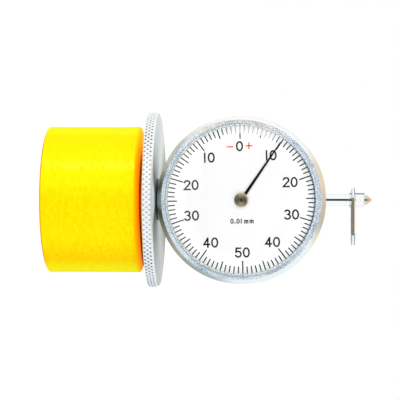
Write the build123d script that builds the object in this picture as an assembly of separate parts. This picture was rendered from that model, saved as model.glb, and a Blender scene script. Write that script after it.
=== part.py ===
from build123d import *
import os
from math import atan2, cos, degrees, pi, radians, sin, sqrt, tan

# A magnetic crankshaft deflection gauge, in millimetres.
# It stands on its magnet with the origin at the centre of the magnet's face and +Z up the spindle.
# The dial looks towards -Y, its 12 o'clock is towards -X, and the finger lever points to +X.

# Fits
slip_fit = 0.02
running_fit = 0.05
face_gap = 0.05
part_gap = 0.3

# Magnet base
magnet_radius = 25.0
magnet_height = 31.5
magnet_edge = 0.4
pot_wall = 3.8
pot_roof = 9.5
core_radius = 7.5
face_ring_depth = 1.5
face_ring_recess = 0.2

# Swivel stud and its friction washer
stud_thread_radius = 4.0
stud_thread_depth = 19.0
stud_flange_radius = 5.9
stud_flange_height = 0.6
journal_radius = 4.5
friction_washer_radius = 10.0
friction_washer_height = 0.5

# Knurled lock disc
disc_radius = 30.0
disc_thickness = 3.45
disc_gap = 2.8
disc_front_bevel = 0.6
disc_back_bevel = 0.25
disc_boss_radius = 10.5
disc_dish = 0.75
disc_floor_margin = 1.5

# Hub between the lock disc and the case
hub_radius = 7.5
hub_thread_radius = 7.0
hub_to_disc = 0.7
hub_spigot_radius = 6.0
hub_nut_radius = 7.2
hub_nut_height = 1.4
hub_end_height = 0.2

# Screw and washer that hold the head on the stud
stud_screw_radius = 2.0
stud_screw_length = 8.0
stud_screw_head_radius = 3.6
stud_screw_head_height = 1.6
stud_washer_radius = 5.6
stud_washer_height = 0.6

# Case of the gauge head
case_step = 0.9
case_wall = 2.3
case_back = 8.2
case_flat_depth = 0.1
web_width = 3.5
web_thickness = 1.4
hub_to_case_front = 0.3
hub_boss_height = 4.0
stem_boss_radius = 5.5
stem_boss_rise = 0.9
screw_boss_radius = 3.0
screw_boss_angle = 30.0
case_screw_radius = 1.1
case_screw_length = 4.5

# Back cover
gasket_thickness = 0.3
gasket_width = 1.8
cover_thickness = 1.2
cover_inset = 0.3
cover_edge = 0.4
cover_step_radius = 17.0
cover_step_height = 0.3
case_screw_head_radius = 1.8
case_screw_head_height = 0.8

# Bezel, crystal and dial
bezel_radius = 28.35
bezel_wall = 2.95
flank_length = 3.0
flank_run = 1.6
bezel_back_bevel = 0.5
disc_to_bezel = 0.1
bezel_to_case = 0.2
spigot_wall = 2.1
spigot_length = 2.3
wire_size = 0.5
wire_bite = 0.3
wire_setback = 0.8
wire_side_count = 24
snap_ring_thickness = 0.3
snap_ring_width = 1.1
dial_thickness = 0.5
dial_hole_radius = 1.5
shoulder_width = 0.5
hand_room = 1.4
crystal_thickness = 0.8
crystal_overlap = 0.9
window_inset = 0.75
crystal_ring_thickness = 0.8
bezel_lip = 0.2

# Spindle, lever and contact point
spindle_radius = 2.0
spindle_stroke = 3.0
rim_to_spindle_end = 8.25
tail_clearance = 0.75
spindle_edge = 0.2
lever_washer_radius = 2.8
lever_washer_height = 0.6
lever_width = 8.4
lever_reach = 15.5
lever_thickness = 1.2
lever_edge = 0.15
nut_across_flats = 5.5
nut_height = 3.2
nut_edge = 0.35
point_thread_radius = 1.25
point_thread_depth = 5.0
point_radius = 1.65
point_collar = 1.0
point_flat_radius = 0.1
bush_radius = 3.5
bush_flange_radius = 4.6
bush_flange_height = 1.0
bush_length = 8.2

# Guides and return spring
guide_pin_radius = 0.5
guide_pin_reach = 7.2
fork_thickness = 1.6
fork_margin = 1.2
fork_to_tail_guide = 0.65
tail_guide_width = 6.8
tail_guide_length = 4.0
tail_guide_drop = 0.4
spring_offset = 5.7
spring_post_edge = 3.0
spring_radius = 1.0
spring_wire = 0.3
spring_turn_count = 9
spring_step_count = 10
spring_post_radius = 0.5

# Gear train: 1 mm of spindle travel turns the hand once
rack_pitch = 0.625
rack_pinion_tooth_count = 16
wheel_tooth_count = 100
centre_pinion_tooth_count = 10
hairspring_wheel_tooth_count = 60
tooth_share = 0.43
flank_angle = 20.0
addendum_share = 0.95
dedendum_share = 1.3
root_share = 0.48
radial_leaf_count = 20
rack_face = 1.75
rack_below_count = 4
rack_above_count = 10
rack_pinion_width = 3.2
wheel_thickness = 0.6
wheel_front = 4.6
wheel_boss_radius = 1.7
wheel_boss_height = 0.5
arbor_radius = 0.8
pivot_radius = 0.4
pivot_length = 0.8
arbor_end_gap = 0.1
centre_pinion_front = 6.4
centre_arbor_radius = 0.7
centre_arbor_gap = 0.1

# Movement plates, bridge and pillars
plate_thickness = 1.0
plate_margin = 0.2
rear_plate_front = -3.2
pillar_radius = 1.5
pillar_edge = 0.3
pillar_spread = 65.0
rivet_radius = 0.8
small_screw_radius = 0.8
small_screw_length = 2.0
small_screw_head_radius = 1.3
small_screw_head_height = 0.6
bridge_front = 3.4
bridge_thickness = 0.8
bridge_width = 5.0
bridge_pillar_offset = 10.0

# Hairspring
hairspring_inner = 1.6
hairspring_pitch = 0.8
hairspring_turn_count = 4.25
hairspring_strip = 0.2
hairspring_height = 0.5
hairspring_front = 6.4
collet_radius = 1.2
collet_height = 0.9
hairspring_step_count = 16
hairspring_stud_radius = 0.5

# Hand
hand_angle = 34.2
hand_hub_radius = 2.35
hand_hub_height = 0.65
hand_thickness = 0.15
hand_length = 23.3
hand_root_width = 1.2
hand_tip_width = 0.35
hand_above_dial = 0.25
hand_dimple_depth = 0.2

# Radii about the dial's centre, worked out from the sizes above
spigot_radius = bezel_radius - bezel_wall
case_radius = spigot_radius + case_step
ring_radius = bezel_radius - flank_run
window_radius = spigot_radius - window_inset
shoulder_radius = spigot_radius - shoulder_width
crystal_radius = window_radius + crystal_overlap
plate_radius = spigot_radius - spigot_wall - plate_margin
screw_boss_offset = plate_radius - case_screw_head_radius
rear_plate_radius = screw_boss_offset - screw_boss_radius - part_gap
pillar_offset = rear_plate_radius - pillar_radius - pillar_edge

# Heights up the spindle axis, worked out from the sizes above
disc_bottom = magnet_height + disc_gap
disc_top = disc_bottom + disc_thickness
dial_height = disc_top + disc_to_bezel + bezel_radius
disc_floor = disc_top - disc_dish
hub_shoulder = disc_floor + hub_to_disc
case_flat = dial_height - case_radius - case_flat_depth
hub_boss_top = case_flat + hub_boss_height
hub_nut_top = hub_boss_top + hub_nut_height
hub_end = hub_nut_top + hub_end_height
hub_start = magnet_height + stud_flange_height + face_gap
stud_end = hub_end + face_gap
stud_washer_top = stud_end + stud_washer_height
spindle_tail = stud_washer_top + stud_screw_head_height + tail_clearance + spindle_stroke
tail_guide_bottom = spindle_tail + tail_guide_drop
tail_guide_top = tail_guide_bottom + tail_guide_length
fork_slot_bottom = tail_guide_top + fork_to_tail_guide + fork_margin
guide_pin_height = fork_slot_bottom + face_gap + guide_pin_radius + spindle_stroke
fork_slot_top = guide_pin_height + guide_pin_radius + face_gap
spring_post_height = dial_height + rear_plate_radius - spring_post_edge
stem_boss_top = dial_height + case_radius + stem_boss_rise
bush_top = stem_boss_top + bush_flange_height
spindle_end = dial_height + bezel_radius + rim_to_spindle_end
lever_bottom = spindle_end + lever_washer_height
lever_top = lever_bottom + lever_thickness
nut_top = lever_top + nut_height
point_shoulder = nut_top + point_collar
point_end = point_shoulder + point_radius - point_flat_radius

# Depths in front of the spindle axis, worked out from the sizes above
case_front = hub_radius + hub_to_case_front
bezel_back = case_front + bezel_to_case
spigot_front = case_front + spigot_length
snap_ring_back = spigot_front + part_gap
dial_back = snap_ring_back + snap_ring_thickness
dial_front = dial_back + dial_thickness
crystal_back = dial_front + hand_room
crystal_front = crystal_back + crystal_thickness
crystal_ring_front = crystal_front + crystal_ring_thickness
bezel_front = crystal_ring_front + bezel_lip
plate_back = case_front
plate_front = plate_back + plate_thickness
cover_front = -(case_back + gasket_thickness)
cover_back = cover_front - cover_thickness
hand_back = dial_front + hand_above_dial
hand_front = hand_back + hand_thickness
hand_hub_front = hand_front + hand_hub_height
bridge_back = bridge_front - bridge_thickness
rear_plate_back = rear_plate_front - plate_thickness
wheel_back = wheel_front - wheel_thickness

# Places of the arbors, as (across, up) from the dial's centre
module = rack_pitch / pi
rack_pinion_pitch_radius = rack_pinion_tooth_count * module / 2
wheel_pitch_radius = wheel_tooth_count * module / 2
centre_pinion_pitch_radius = centre_pinion_tooth_count * module / 2
hairspring_wheel_pitch_radius = hairspring_wheel_tooth_count * module / 2
rack_pitch_line = rack_face - addendum_share * module
wheel_distance = wheel_pitch_radius + centre_pinion_pitch_radius
rack_arbor_across = rack_pitch_line + rack_pinion_pitch_radius
rack_arbor_up = sqrt(wheel_distance**2 - rack_arbor_across**2)
train_angle = degrees(atan2(rack_arbor_up, rack_arbor_across))
hairspring_distance = hairspring_wheel_pitch_radius + centre_pinion_pitch_radius
rack_arbor = (rack_arbor_across, rack_arbor_up)
centre_arbor = (0.0, 0.0)
hairspring_arbor = (
    -hairspring_distance * cos(radians(train_angle)),
    -hairspring_distance * sin(radians(train_angle)),
)

# The dial's own frame: local Z comes out of the dial, local X is +X and local Y is up the spindle
dial_plane = Plane(origin=(0, 0, dial_height), x_dir=(1, 0, 0), z_dir=(0, -1, 0))


def on_dial(shape):
    return dial_plane.location * shape


def turned(outline):
    # A closed outline of (radius, height) points, revolved about Z
    points = [(radius, 0, height) for radius, height in outline]
    return revolve(make_face(Polyline(*points, close=True)), axis=Axis.Z)


def rod(radius, low, high):
    return Pos(0, 0, low) * extrude(Circle(radius), high - low)


def tube(outer, inner, low, high):
    return Pos(0, 0, low) * extrude(Circle(outer) - Circle(inner), high - low)


def block(x_range, y_range, z_range):
    sizes = [high - low for low, high in (x_range, y_range, z_range)]
    middle = [(high + low) / 2 for low, high in (x_range, y_range, z_range)]
    return Pos(*middle) * Box(*sizes)


def at(place, shape):
    return Pos(place[0], place[1], 0) * shape


def polar(radius, angle):
    return (radius * cos(radians(angle)), radius * sin(radians(angle)))


def group(shapes):
    return Compound(children=list(shapes))


def slotted_screw(head_radius, head_height, shank_radius, shank_length):
    # The head's seat is at height 0, with the shank below it
    slot = Box(2.5 * head_radius, head_radius / 3, head_height)
    head = rod(head_radius, 0, head_height) - Pos(0, 0, head_height) * slot
    return head + rod(shank_radius, -shank_length, 0)


# Magnet base

def magnet_pot():
    inner = magnet_radius - pot_wall
    roof = magnet_height - pot_roof
    outline = [
        (stud_thread_radius + slip_fit, roof),
        (inner, roof),
        (inner, 0),
        (magnet_radius - magnet_edge, 0),
        (magnet_radius, magnet_edge),
        (magnet_radius, magnet_height - magnet_edge),
        (magnet_radius - magnet_edge, magnet_height),
        (stud_thread_radius + slip_fit, magnet_height),
    ]
    return turned(outline)


def ring_magnet():
    outer = magnet_radius - pot_wall - slip_fit
    return tube(outer, core_radius + slip_fit, face_ring_depth, magnet_height - pot_roof)


def pole_core():
    hole_low = magnet_height - stud_thread_depth - part_gap
    core = rod(core_radius, 0, magnet_height - pot_roof)
    return core - rod(stud_thread_radius + slip_fit, hole_low, magnet_height)


def pole_face_ring():
    outer = magnet_radius - pot_wall - slip_fit
    return tube(outer, core_radius + slip_fit, face_ring_recess, face_ring_depth)


def swivel_stud():
    stud = rod(stud_thread_radius, magnet_height - stud_thread_depth, magnet_height)
    stud += rod(stud_flange_radius, magnet_height, magnet_height + stud_flange_height)
    stud += rod(journal_radius, magnet_height + stud_flange_height, stud_end)
    tapped_low = stud_washer_top - stud_screw_length - part_gap
    return stud - rod(stud_screw_radius + slip_fit, tapped_low, stud_end)


def friction_washer():
    inner = stud_flange_radius + part_gap
    return tube(friction_washer_radius, inner, magnet_height, magnet_height + friction_washer_height)


def stud_washer():
    return tube(stud_washer_radius, stud_screw_radius + slip_fit, stud_end, stud_washer_top)


def stud_screw():
    screw = slotted_screw(
        stud_screw_head_radius, stud_screw_head_height, stud_screw_radius, stud_screw_length
    )
    return Pos(0, 0, stud_washer_top) * screw


# Lock disc, threaded on the hub, whose boss bears on the friction washer. Its face is dished towards the hub

def lock_disc():
    bore = hub_thread_radius + running_fit
    boss_low = magnet_height + friction_washer_height + face_gap
    outline = [
        (bore, boss_low),
        (disc_boss_radius, boss_low),
        (disc_boss_radius, disc_bottom),
        (disc_radius - disc_back_bevel, disc_bottom),
        (disc_radius, disc_bottom + disc_back_bevel),
        (disc_radius, disc_top - disc_front_bevel),
        (disc_radius - disc_front_bevel, disc_top),
        (hub_radius + disc_floor_margin, disc_floor),
        (bore, disc_floor),
    ]
    return turned(outline)


# Hub and case of the gauge head

def swivel_hub():
    bore = journal_radius + running_fit
    outline = [
        (bore, hub_start),
        (hub_thread_radius, hub_start),
        (hub_thread_radius, hub_shoulder),
        (hub_radius, hub_shoulder),
        (hub_radius, case_flat),
        (hub_spigot_radius, case_flat),
        (hub_spigot_radius, hub_end),
        (bore, hub_end),
    ]
    return turned(outline)


def hub_nut():
    nut = tube(hub_nut_radius, hub_spigot_radius + slip_fit, hub_boss_top, hub_nut_top)
    slot = Pos(0, 0, hub_nut_top) * Box(3 * hub_nut_radius, hub_nut_height, hub_nut_height)
    return nut - slot


screw_boss_places = [
    polar(screw_boss_offset, angle)
    for angle in (screw_boss_angle, 180 - screw_boss_angle, 180 + screw_boss_angle, -screw_boss_angle)
]


def gauge_case():
    inner = case_radius - case_wall
    groove_high = case_front + wire_setback + wire_size + slip_fit
    groove_low = case_front + wire_setback - slip_fit
    groove_radius = spigot_radius - wire_size
    spigot_inner = spigot_radius - spigot_wall
    outline = [
        (inner, -case_back),
        (case_radius, -case_back),
        (case_radius, case_front),
        (spigot_radius, case_front),
        (spigot_radius, groove_low),
        (groove_radius, groove_low),
        (groove_radius, groove_high),
        (spigot_radius, groove_high),
        (spigot_radius, spigot_front),
        (spigot_inner, spigot_front),
        (spigot_inner, case_front),
        (inner - web_width, case_front),
        (inner - web_width, case_front - web_thickness),
        (inner, case_front - web_thickness),
    ]
    case = turned(outline)
    for place in screw_boss_places:
        case += at(place, rod(screw_boss_radius, -case_back, case_front - web_thickness))
    for place in screw_boss_places:
        case -= at(place, rod(case_screw_radius + slip_fit, -case_back, case_front))
    case = on_dial(case)

    # Flat bosses for the hub below and for the spindle's bush above
    hub_boss = rod(hub_radius + face_gap, case_flat, hub_boss_top)
    stem_low = dial_height + case_radius - case_wall - stem_boss_rise
    stem_boss = rod(stem_boss_radius, stem_low, stem_boss_top)
    case += hub_boss + stem_boss
    case -= rod(hub_spigot_radius + slip_fit, case_flat, hub_boss_top)
    case -= rod(hub_nut_radius + part_gap, hub_boss_top, dial_height - inner + web_width)
    case -= rod(bush_radius + slip_fit, stem_low, stem_boss_top)
    return case


def case_gasket():
    outer = case_radius - cover_inset
    return on_dial(tube(outer, outer - gasket_width, cover_front, -case_back))


def back_cover():
    outer = case_radius - cover_inset
    outline = [
        (0, cover_front),
        (outer, cover_front),
        (outer, cover_back + cover_edge),
        (outer - cover_edge, cover_back),
        (cover_step_radius, cover_back),
        (cover_step_radius - cover_step_height, cover_back - cover_step_height),
        (0, cover_back - cover_step_height),
    ]
    cover = turned(outline)
    for place in screw_boss_places:
        cover -= at(place, rod(case_screw_radius + slip_fit, cover_back, cover_front))
    return on_dial(cover)


def case_screw(length):
    return slotted_screw(case_screw_head_radius, case_screw_head_height, case_screw_radius, length)


def back_cover_screws():
    length = case_screw_length + gasket_thickness + cover_thickness
    screw = Pos(0, 0, cover_back) * Rot(180, 0, 0) * case_screw(length)
    return group(on_dial(at(place, screw)) for place in screw_boss_places)


def movement_screws():
    screw = Pos(0, 0, plate_front) * case_screw(case_screw_length + plate_thickness)
    return group(on_dial(at(place, screw)) for place in screw_boss_places)


def spindle_bush():
    bore = spindle_radius + running_fit
    bush = tube(bush_radius, bore, bush_top - bush_length, stem_boss_top)
    return bush + tube(bush_flange_radius, bore, stem_boss_top, bush_top)


def bezel_wire():
    # A wire bent to a polygon: its flats lie in the case's groove, its corners reach into the bezel's
    low = case_front + wire_setback
    inner_corner = (spigot_radius - wire_size + slip_fit) / cos(pi / wire_side_count)
    outline = RegularPolygon(spigot_radius + wire_bite, wire_side_count)
    outline -= RegularPolygon(inner_corner, wire_side_count)
    return on_dial(Pos(0, 0, low) * extrude(outline, wire_size))


# Bezel with its crystal and dial

def bezel():
    bore = spigot_radius + running_fit
    groove = spigot_radius + wire_bite + running_fit
    groove_low = case_front + wire_setback - running_fit
    groove_high = case_front + wire_setback + wire_size + running_fit
    seat = crystal_radius + running_fit
    outline = [
        (bore, bezel_back),
        (bezel_radius - bezel_back_bevel, bezel_back),
        (bezel_radius, bezel_back + bezel_back_bevel),
        (bezel_radius, bezel_front - flank_length),
        (ring_radius, bezel_front),
        (seat, bezel_front),
        (seat, crystal_back),
        (shoulder_radius, crystal_back),
        (shoulder_radius, dial_front),
        (bore, dial_front),
        (bore, groove_high),
        (groove, groove_high),
        (groove, groove_low),
        (bore, groove_low),
    ]
    return on_dial(turned(outline))


def crystal():
    return on_dial(rod(crystal_radius, crystal_back, crystal_front))


def crystal_ring():
    return on_dial(tube(crystal_radius, window_radius, crystal_front, crystal_ring_front))


def dial_plate():
    return on_dial(tube(spigot_radius, dial_hole_radius, dial_back, dial_front))


def dial_snap_ring():
    inner = spigot_radius - snap_ring_width
    return on_dial(tube(spigot_radius, inner, snap_ring_back, dial_back))


# Spindle with its rack, finger lever and contact point

def tooth_half_width(depth_from_pitch):
    # Half a tooth's width in millimetres, this far inside the pitch line
    return tooth_share * rack_pitch / 2 + depth_from_pitch * tan(radians(flank_angle))


def rack_cut():
    # Everything outside the rack's teeth, as a slab across the spindle
    outside = 2 * spindle_radius
    rack_root = rack_pitch_line - dedendum_share * module
    tip_half = tooth_half_width(-addendum_share * module)
    root_half = min(tooth_half_width(dedendum_share * module), root_share * rack_pitch)
    start = dial_height + rack_arbor_up - (rack_below_count + 0.5) * rack_pitch
    count = rack_below_count + rack_above_count
    points = [(outside, start - tip_half), (rack_face, start - tip_half)]
    for number in range(count):
        low_tooth = start + number * rack_pitch
        high_tooth = low_tooth + rack_pitch
        points += [
            (rack_face, low_tooth + tip_half),
            (rack_root, low_tooth + root_half),
            (rack_root, high_tooth - root_half),
            (rack_face, high_tooth - tip_half),
        ]
    end = start + count * rack_pitch + tip_half
    points += [(rack_face, end), (outside, end)]
    outline = Polyline(*[(x, 0, z) for x, z in points], close=True)
    return extrude(make_face(outline), 2 * spindle_radius, dir=(0, 1, 0), both=True)


def across_spindle(shape):
    return Pos(0, 0, guide_pin_height) * Rot(0, -90, 0) * shape


def spindle():
    shaft = rod(spindle_radius, spindle_tail, spindle_end)
    shaft = chamfer(shaft.edges(), spindle_edge)
    shaft -= rack_cut()
    shaft -= rod(point_thread_radius + slip_fit, spindle_end - point_thread_depth - part_gap, spindle_end)
    return shaft - across_spindle(rod(guide_pin_radius + slip_fit, 0, spindle_radius))


def guide_pin():
    return across_spindle(rod(guide_pin_radius, slip_fit, guide_pin_reach))


def lever_washer():
    return tube(lever_washer_radius, point_thread_radius + slip_fit, spindle_end, lever_bottom)


def finger_lever():
    end_radius = lever_width / 2
    middle = (lever_reach - end_radius) / 2
    outline = Pos(middle, 0) * SlotOverall(lever_reach + end_radius, lever_width)
    plate = Pos(0, 0, lever_bottom) * extrude(outline, lever_thickness)
    plate = chamfer(plate.edges().group_by(Axis.Z)[-1] + plate.edges().group_by(Axis.Z)[0], lever_edge)
    return plate - rod(point_thread_radius + slip_fit, lever_bottom, lever_top)


def lever_nut():
    # Flats face +X and -X, so that a corner faces the reader of the dial
    across_corners = nut_across_flats / cos(radians(30))
    hexagon = RegularPolygon(across_corners / 2, 6, rotation=90)
    nut = Pos(0, 0, lever_top) * extrude(hexagon, nut_height)
    flat_radius = across_corners / 2 - nut_edge
    outline = [
        (0, lever_top),
        (flat_radius, lever_top),
        (across_corners / 2, lever_top + nut_edge),
        (across_corners / 2, nut_top - nut_edge),
        (flat_radius, nut_top),
        (0, nut_top),
    ]
    nut = nut & turned(outline)
    return nut - rod(point_thread_radius + slip_fit, lever_top, nut_top)


def contact_point():
    outline = [
        (0, spindle_end - point_thread_depth),
        (point_thread_radius, spindle_end - point_thread_depth),
        (point_thread_radius, nut_top),
        (point_radius, nut_top),
        (point_radius, point_shoulder),
        (point_flat_radius, point_end),
        (0, point_end),
    ]
    return turned(outline)


# Gear train

def gear(teeth, low, high, turn):
    # A tooth points along local X, turned by this angle
    pitch_radius = teeth * module / 2
    tip_radius = pitch_radius + addendum_share * module
    root_radius = pitch_radius - dedendum_share * module
    tip_half = degrees(tooth_half_width(-addendum_share * module) / tip_radius)
    root_half = degrees(tooth_half_width(dedendum_share * module) / root_radius)
    root_half = min(root_half, root_share * 360 / teeth)
    if teeth < radial_leaf_count:
        # A small pinion's leaves have sides that run straight in towards its axis
        root_half = degrees(tooth_half_width(0) / pitch_radius)
    points = []
    for number in range(teeth):
        middle = turn + 360 * number / teeth
        points += [
            polar(root_radius, middle - root_half),
            polar(tip_radius, middle - tip_half),
            polar(tip_radius, middle + tip_half),
            polar(root_radius, middle + root_half),
        ]
    outline = make_face(Polyline(*points, close=True))
    return Pos(0, 0, low) * extrude(outline, high - low)


# At rest a rack pinion leaf points at the rack, and every pair of gears is in mesh
rack_pinion_turn = 180.0
wheel_turn = train_angle + 180
centre_pinion_turn = train_angle + 180 / centre_pinion_tooth_count
far_side_turn = train_angle + 180 - centre_pinion_turn
leaf_step = 360 / centre_pinion_tooth_count
leaf_offset = (far_side_turn + leaf_step / 2) % leaf_step - leaf_step / 2
hairspring_wheel_turn = (
    train_angle
    + leaf_offset * centre_pinion_tooth_count / hairspring_wheel_tooth_count
    + 180 / hairspring_wheel_tooth_count
)


def arbor(radius, pivot, low, high):
    # A plain arbor between two plates, with a pivot at each end
    body = rod(radius, low + arbor_end_gap, high - arbor_end_gap)
    return body + rod(pivot, low - pivot_length, high + pivot_length)


def rack_pinion():
    shape = arbor(arbor_radius, pivot_radius, rear_plate_front, plate_back)
    shape += gear(rack_pinion_tooth_count, -rack_pinion_width / 2, rack_pinion_width / 2, rack_pinion_turn)
    return on_dial(at(rack_arbor, shape))


def rack_wheel():
    wheel = gear(wheel_tooth_count, wheel_back, wheel_front, wheel_turn)
    wheel += rod(wheel_boss_radius, wheel_front, wheel_front + wheel_boss_height)
    wheel -= rod(arbor_radius + slip_fit, wheel_back, wheel_front + wheel_boss_height)
    return on_dial(at(rack_arbor, wheel))


def centre_pinion():
    shape = rod(centre_arbor_radius, bridge_front + arbor_end_gap, hand_hub_front - hand_dimple_depth)
    shape += rod(pivot_radius, bridge_front - pivot_length, bridge_front + arbor_end_gap)
    shape += gear(centre_pinion_tooth_count, bridge_front + part_gap, centre_pinion_front, centre_pinion_turn)
    return on_dial(shape)


def hairspring_wheel():
    wheel = gear(hairspring_wheel_tooth_count, wheel_back, wheel_front, hairspring_wheel_turn)
    wheel -= rod(arbor_radius + slip_fit, wheel_back, wheel_front)
    return on_dial(at(hairspring_arbor, wheel))


def hairspring_collet():
    shape = arbor(arbor_radius, pivot_radius, bridge_front, plate_back)
    low = hairspring_front - collet_height
    shape += rod(collet_radius, low, hairspring_front)
    return on_dial(at(hairspring_arbor, shape))


# Hairspring, from a spiral of constant pitch

def hairspring_radius(turns):
    return hairspring_inner + hairspring_pitch * turns


def hairspring():
    count = int(hairspring_turn_count * hairspring_step_count)
    half = hairspring_strip / 2
    inside = []
    outside = []
    for number in range(count + 1):
        turns = hairspring_turn_count * number / count
        angle = hairspring_end_angle - 360 * (hairspring_turn_count - turns)
        inside.append(polar(hairspring_radius(turns) - half, angle))
        outside.append(polar(hairspring_radius(turns) + half, angle))
    outline = make_face(Polyline(*inside, *reversed(outside), close=True))
    strip = Pos(0, 0, hairspring_front - hairspring_height) * extrude(outline, hairspring_height)
    return on_dial(at(hairspring_arbor, strip))


# The outer end is on the side away from the centre pinion
hairspring_end_angle = train_angle + 180


def hairspring_stud():
    reach = hairspring_radius(hairspring_turn_count) + hairspring_strip / 2 + hairspring_stud_radius
    across, up = polar(reach, hairspring_end_angle)
    stud = rod(hairspring_stud_radius, hairspring_front - hairspring_height, plate_back)
    return on_dial(at((hairspring_arbor[0] + across, hairspring_arbor[1] + up), stud))


# Movement plates, bridge and pillars

pillar_places = [
    polar(pillar_offset, train_angle + side)
    for side in (pillar_spread, -pillar_spread, 180 + pillar_spread, 180 - pillar_spread)
]
bridge_pillar_places = [(-bridge_pillar_offset, 0.0), (bridge_pillar_offset, 0.0)]


def movement_plate():
    plate = rod(plate_radius, plate_back, plate_front)
    for place in screw_boss_places:
        plate -= at(place, rod(case_screw_radius + slip_fit, plate_back, plate_front))
    for place in pillar_places + bridge_pillar_places:
        plate -= at(place, rod(rivet_radius + slip_fit, plate_back, plate_front))
    for place in (rack_arbor, hairspring_arbor):
        plate -= at(place, rod(pivot_radius + running_fit, plate_back, plate_front))
    plate -= rod(centre_arbor_radius + centre_arbor_gap, plate_back, plate_front)
    return on_dial(plate)


def rear_plate():
    plate = rod(rear_plate_radius, rear_plate_back, rear_plate_front)
    for place in pillar_places:
        plate -= at(place, rod(small_screw_radius + slip_fit, rear_plate_back, rear_plate_front))
    plate -= at(rack_arbor, rod(pivot_radius + running_fit, rear_plate_back, rear_plate_front))
    return on_dial(plate)


def pillar(low):
    # Riveted into the movement plate in front, with a tapped hole behind
    shape = rod(pillar_radius, low, plate_back) + rod(rivet_radius, plate_back, plate_front)
    return shape - rod(small_screw_radius + slip_fit, low, low + small_screw_length + part_gap)


def movement_pillars():
    return group(on_dial(at(place, pillar(rear_plate_front))) for place in pillar_places)


def bridge_pillars():
    return group(on_dial(at(place, pillar(bridge_front))) for place in bridge_pillar_places)


def small_screw(seat, thickness):
    # The head is behind the seat, and the shank goes through a plate into a pillar
    head = rod(small_screw_head_radius, seat - small_screw_head_height, seat)
    return head + rod(small_screw_radius, seat, seat + thickness + small_screw_length)


def pillar_screws():
    screws = [at(place, small_screw(rear_plate_back, plate_thickness)) for place in pillar_places]
    screws += [at(place, small_screw(bridge_back, bridge_thickness)) for place in bridge_pillar_places]
    return group(on_dial(screw) for screw in screws)


def centre_bridge():
    bar = extrude(SlotCenterToCenter(2 * bridge_pillar_offset, bridge_width), bridge_thickness)
    arm_outline = Rot(0, 0, train_angle) * SlotCenterToCenter(hairspring_distance, bridge_width)
    arm_middle = (hairspring_arbor[0] / 2, hairspring_arbor[1] / 2)
    bridge = bar + at(arm_middle, extrude(arm_outline, bridge_thickness))
    bridge = Pos(0, 0, bridge_back) * bridge
    for place in bridge_pillar_places:
        bridge -= at(place, rod(small_screw_radius + slip_fit, bridge_back, bridge_front))
    for place in (centre_arbor, hairspring_arbor):
        bridge -= at(place, rod(pivot_radius + running_fit, bridge_back, bridge_front))
    return on_dial(bridge)


# Guides of the spindle, on the rear plate

def guide_fork():
    across = (-spindle_radius - part_gap - fork_thickness, -spindle_radius - part_gap)
    depth = (-bridge_back + part_gap, -rear_plate_front)
    half_slot = guide_pin_radius + running_fit
    fork = block(across, depth, (fork_slot_bottom - fork_margin, fork_slot_top + fork_margin))
    return fork - block(across, (-half_slot, half_slot), (fork_slot_bottom, fork_slot_top))


def tail_guide():
    half = tail_guide_width / 2
    depth = (-bridge_back + face_gap, -rear_plate_front)
    guide = block((-half, half), depth, (tail_guide_bottom, tail_guide_top))
    return guide - rod(spindle_radius + running_fit, tail_guide_bottom, tail_guide_top)


def spring_post():
    length = -rear_plate_front + spring_radius
    post = rod(spring_post_radius, rear_plate_front, rear_plate_front + length)
    return on_dial(at((-spring_offset, spring_post_height - dial_height), post))


def return_spring():
    # A coil of short straight lengths, with a square wire
    bottom = guide_pin_height + guide_pin_radius + spring_wire
    top = spring_post_height - spring_post_radius - spring_wire
    count = spring_turn_count * spring_step_count
    points = []
    for number in range(count + 1):
        across, depth = polar(spring_radius, 360 * number / spring_step_count)
        points.append((across, depth, bottom + (top - bottom) * number / count))
    path = Polyline(*points)
    section = Plane(origin=path @ 0, x_dir=(0, 0, 1), z_dir=path % 0) * Rectangle(spring_wire, spring_wire)
    coil = sweep(section, path=path, transition=Transition.RIGHT)
    return Pos(-spring_offset, 0, 0) * coil


# Hand on the centre arbor

def hand():
    # The hand is drawn pointing along local X, then turned clockwise from 12 o'clock
    start = -hand_hub_radius
    points = [
        (start, -hand_root_width / 2),
        (hand_length, -hand_tip_width / 2),
        (hand_length, hand_tip_width / 2),
        (start, hand_root_width / 2),
    ]
    outline = make_face(Polyline(*points, close=True)) + Circle(0.8 * hand_hub_radius)
    plate = Pos(0, 0, hand_back) * extrude(outline, hand_thickness)
    plate -= rod(centre_arbor_radius + slip_fit, hand_back, hand_front)
    return on_dial(Rot(0, 0, 180 - hand_angle) * plate)


def hand_hub():
    dimple_floor = hand_hub_front - hand_dimple_depth
    outline = [
        (centre_arbor_radius + slip_fit, hand_front),
        (hand_hub_radius, hand_front),
        (hand_hub_radius, hand_hub_front - hand_dimple_depth),
        (hand_hub_radius - hand_dimple_depth, hand_hub_front),
        (centre_arbor_radius + slip_fit, hand_hub_front),
    ]
    return on_dial(turned(outline))


pieces = [
    magnet_pot,
    ring_magnet,
    pole_core,
    pole_face_ring,
    swivel_stud,
    friction_washer,
    stud_washer,
    stud_screw,
    lock_disc,
    swivel_hub,
    hub_nut,
    gauge_case,
    case_gasket,
    back_cover,
    back_cover_screws,
    movement_screws,
    spindle_bush,
    bezel_wire,
    bezel,
    crystal,
    crystal_ring,
    dial_plate,
    dial_snap_ring,
    spindle,
    guide_pin,
    lever_washer,
    finger_lever,
    lever_nut,
    contact_point,
    rack_pinion,
    rack_wheel,
    centre_pinion,
    hairspring_wheel,
    hairspring_collet,
    hairspring,
    hairspring_stud,
    movement_plate,
    rear_plate,
    movement_pillars,
    bridge_pillars,
    pillar_screws,
    centre_bridge,
    guide_fork,
    tail_guide,
    spring_post,
    return_spring,
    hand,
    hand_hub,
]

os.makedirs("parts", exist_ok=True)
for piece in pieces:
    export_step(piece(), f"parts/{piece.__name__}.step")
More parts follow.
